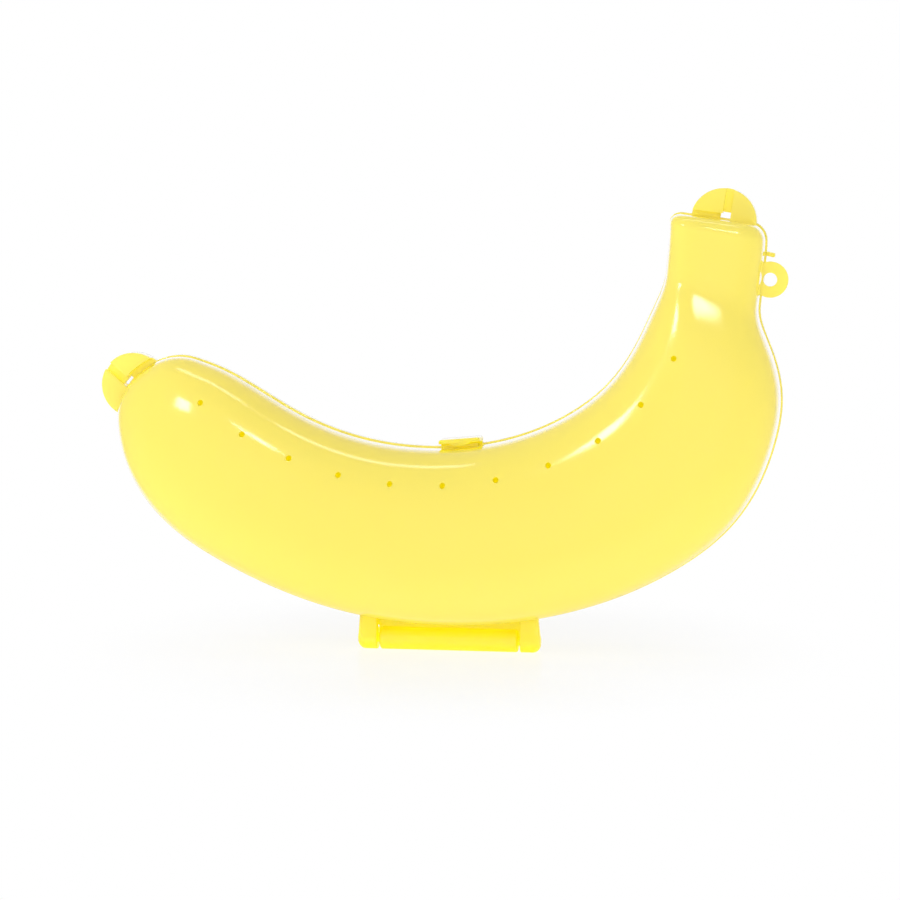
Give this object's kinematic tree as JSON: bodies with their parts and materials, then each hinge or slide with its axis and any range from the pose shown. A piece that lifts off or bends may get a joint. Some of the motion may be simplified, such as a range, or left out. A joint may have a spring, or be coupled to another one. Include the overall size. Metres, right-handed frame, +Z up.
{
  "type": "banana carrying case",
  "caption": "Curved hard plastic case that protects a banana: hinged half shells with a squared stem end, a row of vent holes, a snap latch, finger tabs and a lanyard ring.",
  "frame": {"origin": "middle of the flat foot under the hinge, on the seam plane", "axes": "+X along the hinge toward the stem end, +Y toward the back half, +Z up"},
  "size_m": [0.1956, 0.044, 0.1314],
  "materials": {
    "yellow_plastic": "glossy moulded polypropylene, slightly translucent"
  },
  "bodies": {
    "back_half": {"back_shell": "yellow_plastic", "hinge_barrel": "yellow_plastic", "back_tip_tab": "yellow_plastic", "back_stem_tab": "yellow_plastic", "latch_tongue": "yellow_plastic", "side_peg": "yellow_plastic"},
    "front_half": {"front_shell": "yellow_plastic", "hinge_ear_left": "yellow_plastic", "hinge_ear_right": "yellow_plastic", "front_tip_tab": "yellow_plastic", "front_stem_tab": "yellow_plastic", "latch_catch": "yellow_plastic", "lanyard_ring": "yellow_plastic"}
  },
  "joints": [
    {"name": "lid_hinge", "type": "hinge", "parent": "back_half", "child": "front_half", "pos_m": [0, 0, 0.00305], "axis": [1, 0, 0], "range_deg": [0, 180]}
  ]
}
